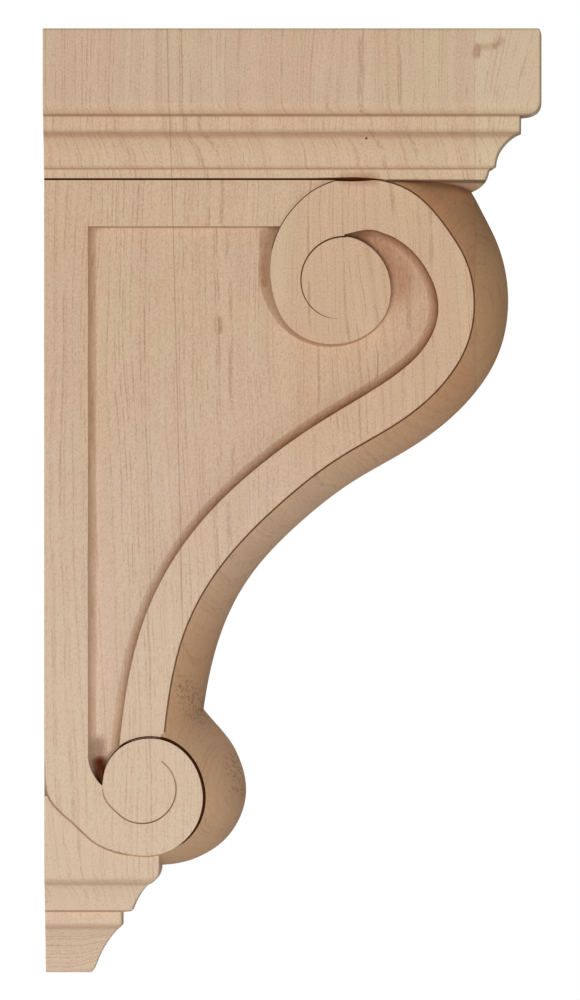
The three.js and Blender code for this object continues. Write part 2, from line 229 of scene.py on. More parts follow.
def wall(run, drop, steep=0.3, steps=9):
    """The edge of a sunk field as distance out and depth down: a rounded arris, then a hollow to the floor.

    The hollow is a quadratic curve that starts steeply and lies down on the floor at the distance run. It
    ends a hair under the floor so that the two surfaces cross cleanly.
    """
    turn = np.radians(np.array([0, 30, 60, 90]))
    t = np.linspace(0, 1, steps + 1)[1:]
    run, under = np.asarray(run, dtype=float)[..., None], np.asarray(drop)[..., None] + UNDER_FLOOR
    run, under = np.broadcast_arrays(run, under)
    hollow = 2 * t * (1 - t) * steep * run + t**2 * run
    out = np.concatenate([ARRIS * (np.sin(turn) - 1) + 0 * run, hollow, run + SKIRT_OUT], axis=-1)
    down = np.concatenate([ARRIS * (1 - np.cos(turn)) + 0 * under,
                           ARRIS * (1 - t)**2 + under * (1 - (1 - t)**2), under + SKIRT_DOWN], axis=-1)
    return out, down


print("points across a wall", len(wall(STILE_RUN, PANEL_SINK)[0]))

# %% [markdown]
# The crown and the foot are square blocks with the same moulding run along the front and both sides, as a
# spindle moulder leaves them: the profile is one path of inset against drop, and each point of it is a
# level ring. The upright corners are eased with sandpaper, so each ring has small round corners.


# %% Crown and foot
def soften(path, size):
    """Every corner p of a path becomes three points: a little before it, (a + 2 p + b) / 4, and after it."""
    before, here, after = path[:-2], path[1:-1], path[2:]
    back, on = before - here, after - here
    reach = [size / np.maximum(np.linalg.norm(d, axis=1, keepdims=True), 1e-9) for d in (back, on)]
    a, b = here + back * np.minimum(reach[0], 0.45), here + on * np.minimum(reach[1], 0.45)
    middle = np.stack([a, (a + 2 * here + b) / 4, b], axis=1).reshape(-1, 2)
    return np.concatenate([path[:1], middle, path[-1:]])


def block(name, path, front, half, top, side_turn=lambda inset: inset, easing=0.9):
    """Level rings of a block against the wall; path holds inset and drop, and both front corners are arcs."""
    inset, drop = path.T
    angle = np.radians(np.linspace(-90, 0, 6))
    x_end, y_end = front - inset, half - side_turn(inset)
    x = (x_end - easing)[:, None] + easing * np.cos(angle)
    y = (easing - y_end)[:, None] + easing * np.sin(angle)
    back = np.zeros((len(path), 1))
    near_x, near_y = np.concatenate([back, x], axis=1), np.concatenate([-y_end[:, None], y], axis=1)
    near = np.stack([near_x, near_y], axis=-1)
    ring = np.concatenate([near, near[:, ::-1] * [1, -1]], axis=1)
    z = np.broadcast_to((top - drop)[:, None, None], ring.shape[:2] + (1,))
    return solid(name, np.concatenate([ring, z], axis=-1))


# Paths hold inset and drop, from the top down
crown_path = np.concatenate([
    [[1.0, 0.0]],
    bend([1.0, 0.0], [0.0, 0.0], [0.0, 1.0], 4),
    [[0.0, 26.8]],
    bend([0.0, 26.8], [0.0, 32.4], [7.7, 32.7]),
    [[7.7, 38.7], [9.9, 39.7]],
    bend([9.9, 39.7], [16.9, 44.6], [17.1, 51.3]),
    [[NECK_INSET, NECK_TOP]],
    bend([NECK_INSET, NECK_TOP], [NECK_INSET + 0.13 * NECK_DEPTH, NECK_TOP + 0.72 * NECK_HEIGHT],
         [NECK_INSET + NECK_DEPTH, NECK_TOP + NECK_HEIGHT], 16),
])


def crown_side(inset):
    """Inset at the sides for the inset at the front: the same down to the neck, and then the neck's own."""
    return np.minimum(inset, NECK_INSET) + np.interp(np.maximum(inset - NECK_INSET, 0), *NECK_SIDE)


crown_path = soften(crown_path, EASE)
crown = block("crown", crown_path, DEPTH, CROWN_HALF, HEIGHT + BOTTOM, crown_side)

foot_path = np.concatenate([
    [[0.0, -FOOT_COIL[1] * PERCENT], [0.0, 0.0]],
    bend([0.0, 0.0], [0.8, 4.2], [4.1, 5.3]),
    bend([4.1, 5.3], [8.3, 8.8], [10.6, 15.4]),
    [[14.4, 15.8], [14.4, 21.0]],
    bend([14.4, 21.0], [21.2, 26.6], [24.8, 37.1]),
    [[26.0, 38.7]],
])
foot_path = soften(foot_path, EASE)
foot = block("foot", foot_path, FOOT_DEPTH, FACE - FOOT_SETBACK, FOOT_HEIGHT + BOTTOM)
print("crown rings", len(crown_path), "foot rings", len(foot_path))

# %% [markdown]
# The sunk panel is routed out of each side. A flat strip is left at the back, another under the crown,
# and the cutter leaves a hollow where the wall meets the floor. The walls are browned a little, partly as
# burn where the cutter rubbed and partly as painted shade in the sunk panel.


# %% Stile, rail and core
def both_sides(along, depth):
    """A closed ring from one side's path: the path, and then its mirror image at the far side, run back."""
    return np.column_stack([np.concatenate([along, along[::-1]]), np.concatenate([depth, -depth[::-1]])])


RAIL_RUN, PLUNGE = 0.8, 2.0
STILE_TOP, POCKET_OVERLAP = 101.0, 0.8
# Of the quads across a wall, the nine after the arris are its hollow, browned as tool burn and painted shade
wall_burn_and_shade = np.concatenate([np.zeros(4), np.full(9, 0.42), np.zeros(2)])
wall_burn_and_shade = np.concatenate([wall_burn_and_shade, wall_burn_and_shade[-2::-1], [0.0]])

out, down = wall(STILE_RUN, PANEL_SINK)
stile_ring = both_sides(np.concatenate([[0.0], STILE_WIDTH + out]), np.concatenate([[-FACE], down - FACE]))
stile_ends = on_body([[0, POCKET_EDGE[0, 1] - POCKET_OVERLAP], [0, STILE_TOP]])[:, 1]
stile = solid("stile", np.stack([np.insert(stile_ring, 2, z, axis=1) for z in stile_ends]), burn_and_shade=wall_burn_and_shade)

out, down = wall(RAIL_RUN, PANEL_SINK)
rail_z = CROWN_UNDERSIDE - RAIL_HEIGHT + BOTTOM - np.concatenate([[-RAIL_HEIGHT - PLUNGE], out])
rail_ring = both_sides(rail_z, np.concatenate([[-FACE], down - FACE]))[:, ::-1]
rail_ends = (0.0, COIL[0] * PERCENT)
rail = solid("rail", np.stack([np.insert(rail_ring, 0, x, axis=1) for x in rail_ends]), burn_and_shade=wall_burn_and_shade * 1.2)

share = np.linspace(0, 1, 120)
stations, slope = faired(STATIONS, share)
outward = square_to(slope[:, :2])
middle = stations[:, :2] - outward * stations[:, 2:3] / 2
core_outline = on_body(np.concatenate([[[0, 0], [0, middle[0, 1]]], middle, [[FOOT_COIL[0], 0]]]))
core = solid("core", np.stack([at_depth(core_outline, -FLOOR), at_depth(core_outline, FLOOR)]))
print("stile, rail and core", [len(piece.data.polygons) for piece in (stile, rail, core)])

# %% [markdown]
# The band is the S itself. It starts at the crown, runs round the nose and down to the lower volute. Its
# section has a hollow wall on the side of the panel, a flat face with a fine groove along the outer edge,
# and a front that swells out as part of a circle.


# %% Band
def belly(edge, outward, depth_out, swell, face, steps=40):
    """Both faces and the swelled front of one section: a circle through both edges and swell beyond them.

    radius = (face^2 + swell^2) / (2 swell) and the arc runs from -asin(face / radius) to the same on the
    far side. depth_out is the near side's path as distance out from the edge and depth, an array
    (sections, points, 2).
    """
    radius = (face**2 + swell**2) / (2 * swell)
    sweep = np.arcsin(face / radius)
    angle = sweep[:, None] * np.linspace(-1, 1, steps + 1)[1:-1]
    forward = radius[:, None] * (np.cos(angle) - 1) + swell[:, None]
    across = np.concatenate([depth_out[..., 0], forward, depth_out[:, ::-1, 0]], axis=1)
    arc = radius[:, None] * np.sin(angle)
    depth = np.concatenate([-depth_out[..., 1], arc, depth_out[:, ::-1, 1]], axis=1)
    return at_depth(edge[:, None] + outward[:, None] * across[..., None], depth)


share = np.linspace(0, 1, 420)
stations, slope = faired(STATIONS, share)
edge = stations[:, :2]
outward = square_to(slope[:, :2])
width, swell = (stations[:, 2:] * PERCENT).T
face = PROUD_FACE - (SCROLL_PROUD + BAND_FALL) * ramp(0.4, 1, share)
out, down = wall(np.full(len(share), BAND_RUN), face - FLOOR, steep=0.25)
groove_out, groove_down = np.broadcast_to([[[-0.7, -0.3, 0.0]], [[0.0, 1.0, 0.15]]], (2, len(share), 3))
path_out = np.concatenate([-width[:, None] - out[:, ::-1], groove_out], axis=1)
path_down = np.concatenate([down[:, ::-1], groove_down], axis=1)
near = np.stack([path_out, face[:, None] - path_down], axis=-1)
rings = belly(on_body(edge), outward, near, swell, face)
count = rings.shape[1]
# Of the quads round a section, 1 to 9 are the near wall's hollow, 14 and 15 the groove, 16 to 55 the front
# The near wall's hollow, darker toward its arris, and the groove are browned as tool burn and as painted
# shade
burn_and_shade = np.zeros(count)
burn_and_shade[1:10] = 0.4 + 0.9 * np.linspace(0, 1, 9)**1.2
burn_and_shade[14:16] = 0.9
burn_and_shade = np.maximum(burn_and_shade, np.roll(burn_and_shade[::-1], -1))
swelled = np.zeros(count)
swelled[16:56] = 1.0
band_burn_and_shade = burn_and_shade * (1 - 0.3 * ramp(0.6, 0.85, share[1:]))[:, None]
# The front's tint is weaker at the waist, which faces down, as painted light, and full on the nose's upper
# side as painted shade
band_front_and_shade = swelled * (1 - 0.5 * ramp(0.3, 0.6, share[1:]) + 0.5 * ramp(0.68, 0.9, share[1:]))[:, None]
band = solid("band", rings, burn_and_shade=band_burn_and_shade, front=band_front_and_shade)
print("band", rings.shape)

# %% [markdown]
# The two volutes are plates cut to a spiral. The upper one leans out to the floor of the panel where the
# cutter could not turn tightly, and stands upright further round, where it had room.


# %% Upper volute
def plate(name, outline, run, face, floor, steep=0.3, burn_and_shade=0.0):
    """A plate of both faces cut to a closed outline whose wall lies out by run at each point.

    Outward is the outline's own normal, from the difference of the neighbouring points on either side. The
    sign of the outline's area, half the sum of x z' - z x', says which way round it runs.
    """
    along = np.roll(outline, -1, axis=0) - np.roll(outline, 1, axis=0)
    area = np.sum(outline[:, 0] * np.roll(outline[:, 1], -1) - outline[:, 1] * np.roll(outline[:, 0], -1))
    normal = square_to(along) * (-1 if area > 0 else 1)
    out, down = wall(run, face - floor, steep=steep)
    levels = outline[None] + normal[None] * out.T[..., None]
    levels[..., 0] = np.maximum(levels[..., 0], 0)
    near = at_depth(levels, -(face - down.T))
    marks = np.broadcast_to(burn_and_shade, outline.shape[:1])
    # The wall's hollow is browned, darker toward the floor, as tool burn and as painted shade
    darker_down = np.concatenate([np.zeros(3), np.linspace(0.6, 1, 9), np.zeros(1)])
    half = marks[None] * darker_down[:, None]
    return solid(name, np.concatenate([near, near[::-1] * [1, -1, 1]]),
                 burn_and_shade=np.concatenate([half, np.zeros((1, len(outline))), half[::-1]]))


share = np.linspace(0, 1, 260)
turn = 90 + 360 * share
radius = smooth(COIL_RADII, share)
coil_run = np.maximum(smooth(COIL_WALLS, share), 0) * PERCENT
coil_outline = on_body(polar(COIL, radius, turn))
coil = plate("coil", coil_outline, coil_run, PROUD_FACE, FLOOR, burn_and_shade=0.7 - 0.2 * ramp(200, 300, turn))
print("upper volute", len(coil.data.polygons))

# %% [markdown]
# The lower volute starts in the narrow pocket beside the stile, which came out scorched and is painted
# darker still as shade, turns round once and runs off to the wall. Between its two plates the front swells
# out as a roll, by the same section as the band's.


# %% Lower volute and its roll
def foot_coil(turn):
    """Radius of the lower scroll's outline where it has turned to an angle in degrees, in drawing units."""
    return smooth(FOOT_COIL_RADII, (FOOT_COIL_START - turn) / FOOT_COIL_TURN)


turn = np.linspace(FOOT_COIL_START, FOOT_COIL_START - FOOT_COIL_TURN, 300)
foot_coil_turned = polar(FOOT_COIL, foot_coil(turn), turn)
foot_coil_turned[:, 0] = np.maximum(foot_coil_turned[:, 0], 0)
pocket_share = np.linspace(0, 1, 40)
pocket = smooth(POCKET_EDGE, pocket_share)
volute_outline = on_body(np.concatenate([foot_coil_turned, [[0, POCKET_EDGE[0, 1]]], pocket]))
volute_run = np.concatenate([
    2.2 * ramp(158, 140, turn) * ramp(95, 125, turn) + 4.5 * ramp(-95, -110, turn), [0.0],
    STILE_RUN * ramp(1.15, 0.35, pocket_share) * ramp(-0.02, 0.03, pocket_share),
])
# Browned near the start of the turn, where it runs off to the wall and round the pocket, as tool burn and as
# painted shade
volute_burn_and_shade = np.concatenate([
    0.5 * ramp(100, 150, turn) + 1.3 * ramp(-85, -110, turn), [0.0], 0.5 + 0.5 * pocket_share,
])
volute = plate("volute", volute_outline, volute_run, FACE, FLOOR, burn_and_shade=volute_burn_and_shade)

share = np.linspace(0, 1, 130)
turn = 75 - 175 * share
radius = foot_coil(turn)
outward = polar([0, 0], 1, turn)
# The roll runs from deep inside the plate to its rim, a tenth of a millimetre under the plate's face
roll_face = np.full_like(share, FACE - 0.1)
near = np.stack(np.broadcast_arrays(
    np.stack([-0.9 * radius * PERCENT, np.full_like(share, -0.8), np.zeros_like(share)], axis=-1),
    np.array([FACE - 0.05, FACE - 0.05, FACE - 0.1]),
), axis=-1)
roll_swell = (smooth(ROLL_RADII, share) - radius) * PERCENT
roll_edge = on_body(polar(FOOT_COIL, radius, turn))
roll = solid("roll", belly(roll_edge, outward, near, roll_swell, roll_face), front=0.9)
print("lower volute and roll", [len(piece.data.polygons) for piece in (volute, roll)])

# %% [markdown]
# Fine cuts: the line of each eye, the lines that set the volutes off, and the crevice where the crown
# sits on the body. Each is a V as a parting tool cuts it, shallower toward the end where the tool comes
# out.


# %% Grooves
def groove(name, path, depth, width, face, burn_and_shade=1.0):
    """A V cut in both faces along a path (points, 2), width across at the face and depth deep.

    Over the face it flares a little and rises by the lift, so that it cuts right through the surface.
    """
    along = np.gradient(path, axis=0)
    side = square_to(along)
    depth, width = np.broadcast_to(depth, len(path)), np.broadcast_to(width, len(path))
    lift, flare = 3.0, 0.15
    half = (width / 2)[:, None]
    rims = [at_depth(path + side * (half + flare) * s, -(face + lift)) for s in (-1, 1)]
    lips = [at_depth(path + side * half * s, -face) for s in (-1, 1)]
    root = at_depth(path, -(face - depth))
    near = np.stack([rims[0], lips[0], root, lips[1], rims[1]], axis=1)
    return solid(name, near, near * [1, -1, 1], burn_and_shade=burn_and_shade)


# Each groove is browned by its own amount, as tool burn and as painted shade in the cut, most in the disc
# line and the crevice
t = np.linspace(0, 1, 90)
turn = 88 + 172 * t
eye_radius = COIL_EYE_RADIUS - 0.6 * np.maximum((t - 0.6) / 0.4, 0)**2
eye_line = groove("upper eye", on_body(polar(COIL, eye_radius, turn)),
                  1.3 * (1 - t)**0.8 + 0.02, 0.7 - 0.4 * t, PROUD_FACE)

turn = 180 + 235 * t
foot_eye_radius = FOOT_EYE_RADIUS + 0.75 * (1 - ramp(0, 0.2, t))
foot_eye_line = groove("lower eye", on_body(polar(FOOT_EYE, foot_eye_radius, turn)),
                       0.25 + 0.3 * np.sin(np.pi * t), 0.6, FACE, burn_and_shade=0.7)

share = np.linspace(0.02, 0.185, 90)
coil_line = groove("coil line", on_body(polar(COIL, smooth(COIL_RADII, share) + 0.05, 90 + 360 * share)),
                   SCROLL_PROUD + 0.55, 0.55, PROUD_FACE)

turn = 157 - 225 * t
disc_line = groove("disc line", on_body(polar(FOOT_COIL, foot_coil(turn) + 0.12, turn)),
                   1.9 - 1.5 * ramp(0.75, 1, t), 0.45 + 1.0 * ramp(0, 0.25, t) * ramp(1.15, 0.75, t), FACE,
                   burn_and_shade=1.6)

turn = -62 - 124 * t
scroll_line = groove("scroll line", on_body(polar(FOOT_COIL, foot_coil(turn) + 0.08, turn)),
                     0.3 + 0.3 * ramp(0, 0.3, t), 0.5 + 0.5 * ramp(0, 0.3, t), FACE, burn_and_shade=0.65)

# The crevice runs level under the crown, widens over the upper volute and ends just past it
CREVICE_HEIGHT, CREVICE_END_X = 121.0, 128
crevice_x = np.linspace(-1, CREVICE_END_X, 90)
swelling = np.exp(-((crevice_x - 118) / 11)**2)
crevice_path = np.stack([crevice_x, np.full_like(crevice_x, CREVICE_HEIGHT)], axis=-1)
ending = ramp(CREVICE_END_X, 116, crevice_x)
crevice = groove("crevice", crevice_path, 0.4 + 1.5 * ending, 0.1 + 0.95 * ending + 0.7 * swelling,
                 PROUD_FACE + 0.3, burn_and_shade=1.8)
cutters = [eye_line, foot_eye_line, coil_line, disc_line, scroll_line, crevice]
print("grooves", [cutter.name for cutter in cutters])

# %% [markdown]
# Joining everything gives one closed skin, since the real bracket is one blank. Edges sharper than the
# angle below stay crisp, and the large flat faces set the shading beside their eased edges.

# %% Join into one piece
SHARP_DEGREES, FLAT_FACE_WEIGHT = 28, 90
shells = [crown, foot, core, stile, rail, coil, band, volute, roll]
joints = [(shell, "UNION") for shell in shells[1:]] + [(cutter, "DIFFERENCE") for cutter in cutters]
for other, operation in joints:
    step = crown.modifiers.new(other.name, "BOOLEAN")
    step.operation, step.solver, step.object = operation, "MANIFOLD", other
graph = bpy.context.evaluated_depsgraph_get()
mesh = bpy.data.meshes.new_from_object(crown.evaluated_get(graph))
for piece in shells + cutters:
    bpy.data.objects.remove(piece)
mesh.name = "carved corbel"
mesh.shade_smooth()
mesh.set_sharp_from_angle(angle=math.radians(SHARP_DEGREES))
corbel = bpy.data.objects.new("carved_corbel", mesh)
bpy.context.scene.collection.objects.link(corbel)
weigh = corbel.modifiers.new("even shading", "WEIGHTED_NORMAL")
weigh.keep_sharp = True
weigh.weight = FLAT_FACE_WEIGHT
mesh.calc_loop_triangles()
edge_uses = np.zeros(len(mesh.edges), dtype=int)
loop_edges = np.zeros(len(mesh.loops), dtype=np.int32)
mesh.loops.foreach_get("edge_index", loop_edges)
np.add.at(edge_uses, loop_edges, 1)
print("triangles", len(mesh.loop_triangles), "edges not shared by two faces", int(np.sum(edge_uses != 2)))

# %% [markdown]
# Maple sold unfinished: pale, a little pink, with fine growth lines that run the height of each board,
# and browner where a cutter rubbed or where end grain drinks the light; its walls, grooves, corners and
# swelled front are also darkened with painted shade. It is planed and sanded, so it shines very little. A
# material here is a chain of small steps on numbers, so one function adds a step, and the settings that
# come back often get a short name.

# %% Colours and nodes
TIMES, PLUS, MINUS = [{"operation": name} for name in ("MULTIPLY", "ADD", "SUBTRACT")]
MOST, LEAST, ABOVE = [{"operation": name} for name in ("MAXIMUM", "MINIMUM", "GREATER_THAN")]
SIZE, ROOT, TIMES_PLUS = [{"operation": name} for name in ("ABSOLUTE", "SQRT", "MULTIPLY_ADD")]
CAPPED_TIMES = {"operation": "MULTIPLY", "use_clamp": True}
EASED = {"interpolation_type": "SMOOTHSTEP"}
STAIN_AND_SHADE = {"data_type": "RGBA"}
TINT = {"data_type": "RGBA", "blend_type": "MULTIPLY"}


def colour(text):
    """An sRGB hex code as linear values: ((c + 0.055) / 1.055)^2.4, or c / 12.92 when c is small."""
    values = np.array([int(text[i:i + 2], 16) for i in (1, 3, 5)]) / 255
    linear = np.where(values <= 0.04045, values / 12.92, ((values + 0.055) / 1.055)**2.4)
    return (*[float(v) for v in linear], 1.0)


maple = bpy.data.materials.new("bare sanded maple")
maple.use_nodes = True
tree = maple.node_tree
surface = tree.nodes["Principled BSDF"]


def add(kind, settings, feeds=(), out=0):
    """A node with its settings and feeds, each a number, a colour or another node's socket; gives one output.

    Feeds go to the inputs in order, or by number or name where they come as a dictionary.
    """
    made = tree.nodes.new("ShaderNode" + kind)
    for key, value in settings.items():
        setattr(made, key, value)
    for key, value in feeds.items() if isinstance(feeds, dict) else enumerate(feeds):
        if isinstance(value, bpy.types.NodeSocket):
            tree.links.new(value, made.inputs[key])
        else:
            made.inputs[key].default_value = value
    return made.outputs[out]


place = add("TexCoord", {}, out="Object")
x, y, z = [add("Math", TIMES, (add("SeparateXYZ", {}, (place,), axis), 1 / MM)) for axis in "XYZ"]
depth_under = add("Math", SIZE, (y,))
print("colour of the palest wood", [round(v, 3) for v in colour("#EBD6BB")])

# %% [markdown]
# Three helpers turn sizes on the real wood into patterns. Each one is a formula of several steps: noise
# whose features have a size in millimetres, a soft line drawn on the side, and colours laid one over the
# other as thin washes, of stain and of painted shade.


# %% Patterns by their real size
def noise(size_x, size_y, size_z, detail, shift=0.0):
    """Noise between 0 and 1 whose features measure the given millimetres along each axis."""
    scale = [1 / (MM * size) for size in (size_x, size_y, size_z)]
    stretched = add("Mapping", {}, {"Vector": place, "Location": (shift, shift, shift), "Scale": scale})
    return add("TexNoise", {}, {"Vector": stretched, "Scale": 1.0, "Detail": detail, "Roughness": 0.5})


def near_line(x1, z1, x2, z2, reach, soft):
    """1 on a line of the side drawing between two places in millimetres, falling to 0 at reach plus soft.

    The place's run along the line, held between 0 and the line's length, gives the nearest point of the line,
    and the distance to it is the root of the sum of both squares.
    """
    length = math.hypot(x2 - x1, z2 - z1)
    ux, uz = (x2 - x1) / length, (z2 - z1) / length
    dx, dz = add("Math", MINUS, (x, x1)), add("Math", MINUS, (z, z1))
    run = add("Math", TIMES_PLUS, (dx, ux, add("Math", TIMES, (dz, uz))))
    held = add("Math", LEAST, (add("Math", MOST, (run, 0.0)), length))
    off_x, off_z = add("Math", TIMES_PLUS, (held, -ux, dx)), add("Math", TIMES_PLUS, (held, -uz, dz))
    square = add("Math", TIMES_PLUS, (off_x, off_x, add("Math", TIMES, (off_z, off_z))))
    return add("MapRange", EASED, (add("Math", ROOT, (square,)), reach + soft, reach))


def strongest(lines):
    """The largest of several soft lines, each with a strength after its places, reach and softness."""
    amount = 0.0
    for *line, strength in lines:
        amount = add("Math", MOST, (amount, add("Math", TIMES, (near_line(*line), strength))))
    return amount


def lay(wood, washes):
    """The wood with each wash's colour over it in turn, as strong as the product of the wash's amounts."""
    for first, *others, shade in washes:
        amount = first
        for other in others:
            amount = add("Math", TIMES, (amount, other))
        wood = add("Mix", STAIN_AND_SHADE, {0: amount, 6: wood, 7: colour(shade)}, 2)
    return wood


print("nodes so far", len(tree.nodes))

# %% [markdown]
# The blank is three boards side by side, and their joints lean a little. In a board the growth layers are
# rings round a pith far off to one side, so they stand nearly upright and square to the side, and bend
# where the front swells. Low down they lie flatter and surface on the foot's hollow as level lines. So
# the pattern is noise along one number, the layer that a point lies in.

# %% Boards and growth layers
FIRST_JOINT, FIRST_LEAN, SECOND_JOINT = 50.9, 0.024, 161.9
FOOT_TURN = (-150.0, -162.0)

first_joint = add("Math", TIMES_PLUS, (z, FIRST_LEAN, add("Math", MINUS, (x, FIRST_JOINT))))
second_joint = add("Math", MINUS, (x, SECOND_JOINT))
in_second = add("Math", ABOVE, (first_joint, 0.0))
in_third = add("Math", ABOVE, (second_joint, 0.0))

inset = add("Math", MINUS, (FACE, depth_under))
lean = add("MapRange", EASED, (z, *FOOT_TURN, -0.5, 3.5))
spread = add("MapRange", EASED, (z, *FOOT_TURN, 1.0, 0.15))
# Drift is up to 17 mm either way over the height of a board, and wander 1.3 mm over a few centimetres
drift = add("Math", TIMES_PLUS, (noise(70, 70, 300, 2.0), 34.0, -17.0))
wander = add("Math", TIMES_PLUS, (noise(12, 12, 40, 2.0, 3.1), 2.6, -1.3))
layer = add("Math", TIMES_PLUS, (x, spread, add("Math", PLUS, (drift, wander))))
layer = add("Math", TIMES_PLUS, (inset, lean, layer))
layer = add("Math", TIMES_PLUS, (in_third, add("Math", TIMES_PLUS, (z, -0.16, 40.0)), layer))
layer = add("Math", TIMES_PLUS, (in_second, 13.0, layer))


def layers(size, detail, shift=0.0):
    """Noise along the growth layers, the same all over one layer, with features of the given millimetres."""
    along = add("Math", TIMES_PLUS, (layer, 1 / size, shift))
    feeds = {"W": along, "Scale": 1.0, "Detail": detail, "Roughness": 0.6}
    return add("TexNoise", {"noise_dimensions": "1D"}, feeds)


broad, fine = layers(7.0, 1.0), layers(1.5, 2.0, 4.4)
year_line = add("MapRange", EASED, (layers(2.2, 1.0, 9.7), 0.66, 0.74))
off_middle = add("Math", SIZE, (add("Math", MINUS, (layers(4.5, 0.0, 2.3), 0.5)),))
thin_line = add("MapRange", EASED, (off_middle, 0.030, 0.008))
print("nodes so far", len(tree.nodes))

# %% [markdown]
# The tone of the wood goes on in washes, from wide to fine: pale and pink clouds a few centimetres
# across, the third board's own yellower tone, a paler colour towards the bottom, soft growth lines, thin
# dark ones broken into dashes, the pores' flecks, and a speckle from sanding. The swelled front cuts across
# the fibres, so its lines show less. The real pores are finer than a pixel, so they are drawn as coarse as
# they need to be to show.

# %% Tones of the wood
swelled = add("Attribute", {"attribute_name": "front"}, out="Fac")
dashes = add("MapRange", EASED, (noise(1.6, 1.6, 9, 2.0, 8.2), 0.38, 0.60))
kept_on_front = add("Math", TIMES_PLUS, (swelled, -0.6, 1.0))
patchy = add("MapRange", EASED, (noise(5, 5, 22, 2.0, 6.0), 0.34, 0.62))
low_down = add("MapRange", EASED, (z, 90.0, -120.0))
in_foot_hollow = add("MapRange", EASED, (z, -158.0, -163.0))
lines_show = add("MapRange", EASED, (z, 60.0, -110.0, 0.42, 0.24))
speckle = noise(0.5, 0.5, 0.8, 2.0, 9.0)
glue_lines = [add("MapRange", EASED, (add("Math", SIZE, (joint,)), reach, middle))
              for joint, reach, middle in ((first_joint, 0.34, 0.06), (second_joint, 0.25, 0.05))]
glue = add("Math", MOST, (glue_lines[0], add("Math", TIMES, (glue_lines[1], 0.6))))

wood = add("Mix", STAIN_AND_SHADE, {0: add("MapRange", EASED, (broad, 0.3, 0.7)), 6: colour("#D6B799"),
                          7: colour("#DCBFA0")}, 2)
wood = lay(wood, [
    (add("MapRange", EASED, (noise(28, 28, 70, 2.0, 7.7), 0.40, 0.68)), 0.55, "#D9B496"),
    (add("MapRange", EASED, (noise(20, 20, 46, 2.0, 1.3), 0.50, 0.72)), 0.50, "#D7C09C"),
    (in_third, 0.75, "#DDC7A6"),
    (low_down, 0.7, "#E6CEB5"),
    (add("MapRange", EASED, (fine, 0.50, 0.72)), patchy, 0.22, "#B58B68"),
    (year_line, patchy, 0.26, "#B3845E"),
    (add("MapRange", EASED, (fine, 0.45, 0.62)), in_foot_hollow, 0.36, "#B08A69"),
    (thin_line, dashes, kept_on_front, lines_show, "#9F7758"),
    (add("MapRange", EASED, (noise(0.4, 0.4, 2.4, 1.0, 5.0), 0.60, 0.72)), 0.22, "#A97D5C"),
    (add("MapRange", EASED, (speckle, 0.42, 0.70)), 0.32, "#EBD6BB"),
    (add("MapRange", EASED, (speckle, 0.48, 0.25)), 0.30, "#B58D6C"),
    (glue, add("MapRange", EASED, (z, -70.0, -30.0)), 0.42, "#8F684B"),
])
warm = 0.7
for value, low, high in ((x, 84.0, 100.0), (z, 0.0, 30.0), (z, 121.5, 119.0)):
    warm = add("Math", TIMES, (add("MapRange", EASED, (value, low, high)), warm))
wood = add("Mix", TINT, {0: warm, 6: wood, 7: (1.0, 0.93, 0.89, 1.0)}, 2)
print("nodes so far", len(tree.nodes))

# %% [markdown]
# Marks of handling: a small knot, a dot, a streak and a stain, which belong to one side of one bracket,
# so they stay on the near side. Under each moulding's edge the wood is darkened as painted shade, in level
# bands that run all round, and a dark line of painted shade runs under the crown's neck at the front.

# %% Marks and shaded edges
MARKS = [
    # from x, z to x, z, reach, softness, strength, colour
    (162.6, 167.6, 163.0, 170.2, 0.4, 2.0, 0.6, "#A06C43"),
    (163.6, 170.6, 169.0, 170.6, 0.2, 2.2, 0.4, "#AE8058"),
    (170.0, 171.2, 171.6, 173.0, 0.3, 1.9, 0.55, "#A87A52"),
    (121.1, 136.4, 121.2, 136.4, 0.15, 0.5, 0.95, "#34200F"),
    (66.1, 68.6, 66.2, 64.1, 0.1, 1.3, 0.6, "#9C7544"),
    (125.5, 56.6, 125.2, 47.2, 0.05, 0.5, 0.45, "#96704E"),
]
# Painted shade under the edges of the crown's and the foot's mouldings
SHADED_LEVELS = [
    # height, reach, softness, strength
    (144.9, 0.25, 0.6, 0.55), (138.0, 0.4, 2.0, 0.42), (125.1, 0.1, 0.35, 0.55),
    (-143.2, 0.4, 1.6, 0.25), (-154.0, 0.1, 0.35, 0.6), (-160.0, 0.3, 1.4, 0.35),
]
# Painted shade along the lower edge of the crown's neck, where it sits over the swelled front
NECK_SHADE_LINE = (129.0, 120.5, 166.0, 120.3, 0.25, 0.7)

for height, reach, soft, strength in SHADED_LEVELS:
    off_level = add("Math", SIZE, (add("Math", MINUS, (z, height)),))
    wood = lay(wood, [(add("MapRange", EASED, (off_level, reach + soft, reach)), strength, "#9E714D")])
near_side = add("MapRange", EASED, (y, -1.0, -6.0))
uneven = add("MapRange", {}, (noise(1.3, 1.3, 2.0, 2.0, 13.0), 0.3, 0.6, 0.45, 1.05))
wood = lay(wood, [(near_line(*line), strength, uneven, near_side, shade) for *line, strength, shade in MARKS])
wood = lay(wood, [(near_line(*NECK_SHADE_LINE), 0.7, "#5E3A20")])
print("nodes so far", len(tree.nodes))

# %% [markdown]
# Tool burns and painted shade. A dull or slow cutter rubs and scorches the wood, and the walls, grooves and
# hollows are darkened further as painted shade: the walls and grooves carry their own amount as an
# attribute of the mesh, and the hollow of the upper scroll, the pocket beside the stile and the end of the
# crevice are named by where they are on the side. Burns are patchy, so two sizes of noise thin them.

